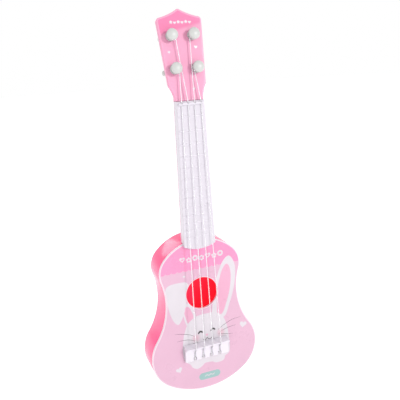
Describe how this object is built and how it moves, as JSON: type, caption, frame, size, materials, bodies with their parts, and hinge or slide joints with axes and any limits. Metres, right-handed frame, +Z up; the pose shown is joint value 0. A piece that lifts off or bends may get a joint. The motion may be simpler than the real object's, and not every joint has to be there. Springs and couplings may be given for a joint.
{
  "type": "toy guitar",
  "caption": "Small plastic toy guitar with a hollow waisted body, round sound hole, white fingerboard, tilted head, nylon strings and turning tuners.",
  "frame": {"origin": "on the flat back of the body, on its centre line and level with the centre of the sound hole", "axes": "+Z up along the neck towards the head, -Y out of the front face towards the player's hand, +X to the right seen from the front"},
  "size_m": [0.1064, 0.0403, 0.3521],
  "materials": {
    "shell_pink": "glossy moulded plastic, deep pink",
    "panel_pink": "satin moulded plastic, pale pink, with printed decoration",
    "head_pink": "satin moulded plastic, light pink",
    "board_white": "satin moulded plastic, white",
    "bridge_white": "satin moulded plastic, white",
    "peg_white": "satin moulded plastic, off-white",
    "nylon": "drawn translucent nylon line, white",
    "screw_steel": "zinc-plated steel"
  },
  "bodies": {
    "body": {"back_shell": "shell_pink", "front_panel": "panel_pink", "neck": "head_pink", "fingerboard": "board_white", "bridge": "bridge_white", "string_1": "nylon", "string_2": "nylon", "string_3": "nylon", "string_4": "nylon", "body_screw_upper_left": "screw_steel", "body_screw_upper_right": "screw_steel", "body_screw_lower_left": "screw_steel", "body_screw_lower_right": "screw_steel", "body_screw_tail_left": "screw_steel", "body_screw_tail_right": "screw_steel", "neck_screw_lower": "screw_steel", "neck_screw_upper": "screw_steel"},
    "tuner_lower_left": {"peg_lower_left": "peg_white", "key_lower_left": "peg_white", "winding_lower_left": "nylon"},
    "tuner_upper_left": {"peg_upper_left": "peg_white", "key_upper_left": "peg_white", "winding_upper_left": "nylon"},
    "tuner_upper_right": {"peg_upper_right": "peg_white", "key_upper_right": "peg_white", "winding_upper_right": "nylon"},
    "tuner_lower_right": {"peg_lower_right": "peg_white", "key_lower_right": "peg_white", "winding_lower_right": "nylon"}
  },
  "joints": [
    {"name": "tuner_lower_left_turn", "type": "hinge", "parent": "body", "child": "tuner_lower_left", "pos_m": [-0.0096, -0.02692, 0.20317], "axis": [0, -0.9803, 0.1977], "continuous": true},
    {"name": "tuner_upper_left_turn", "type": "hinge", "parent": "body", "child": "tuner_upper_left", "pos_m": [-0.0096, -0.02151, 0.23003], "axis": [0, -0.9803, 0.1977], "continuous": true},
    {"name": "tuner_upper_right_turn", "type": "hinge", "parent": "body", "child": "tuner_upper_right", "pos_m": [0.0096, -0.02151, 0.23003], "axis": [0, -0.9803, 0.1977], "continuous": true},
    {"name": "tuner_lower_right_turn", "type": "hinge", "parent": "body", "child": "tuner_lower_right", "pos_m": [0.0096, -0.02692, 0.20317], "axis": [0, -0.9803, 0.1977], "continuous": true}
  ]
}
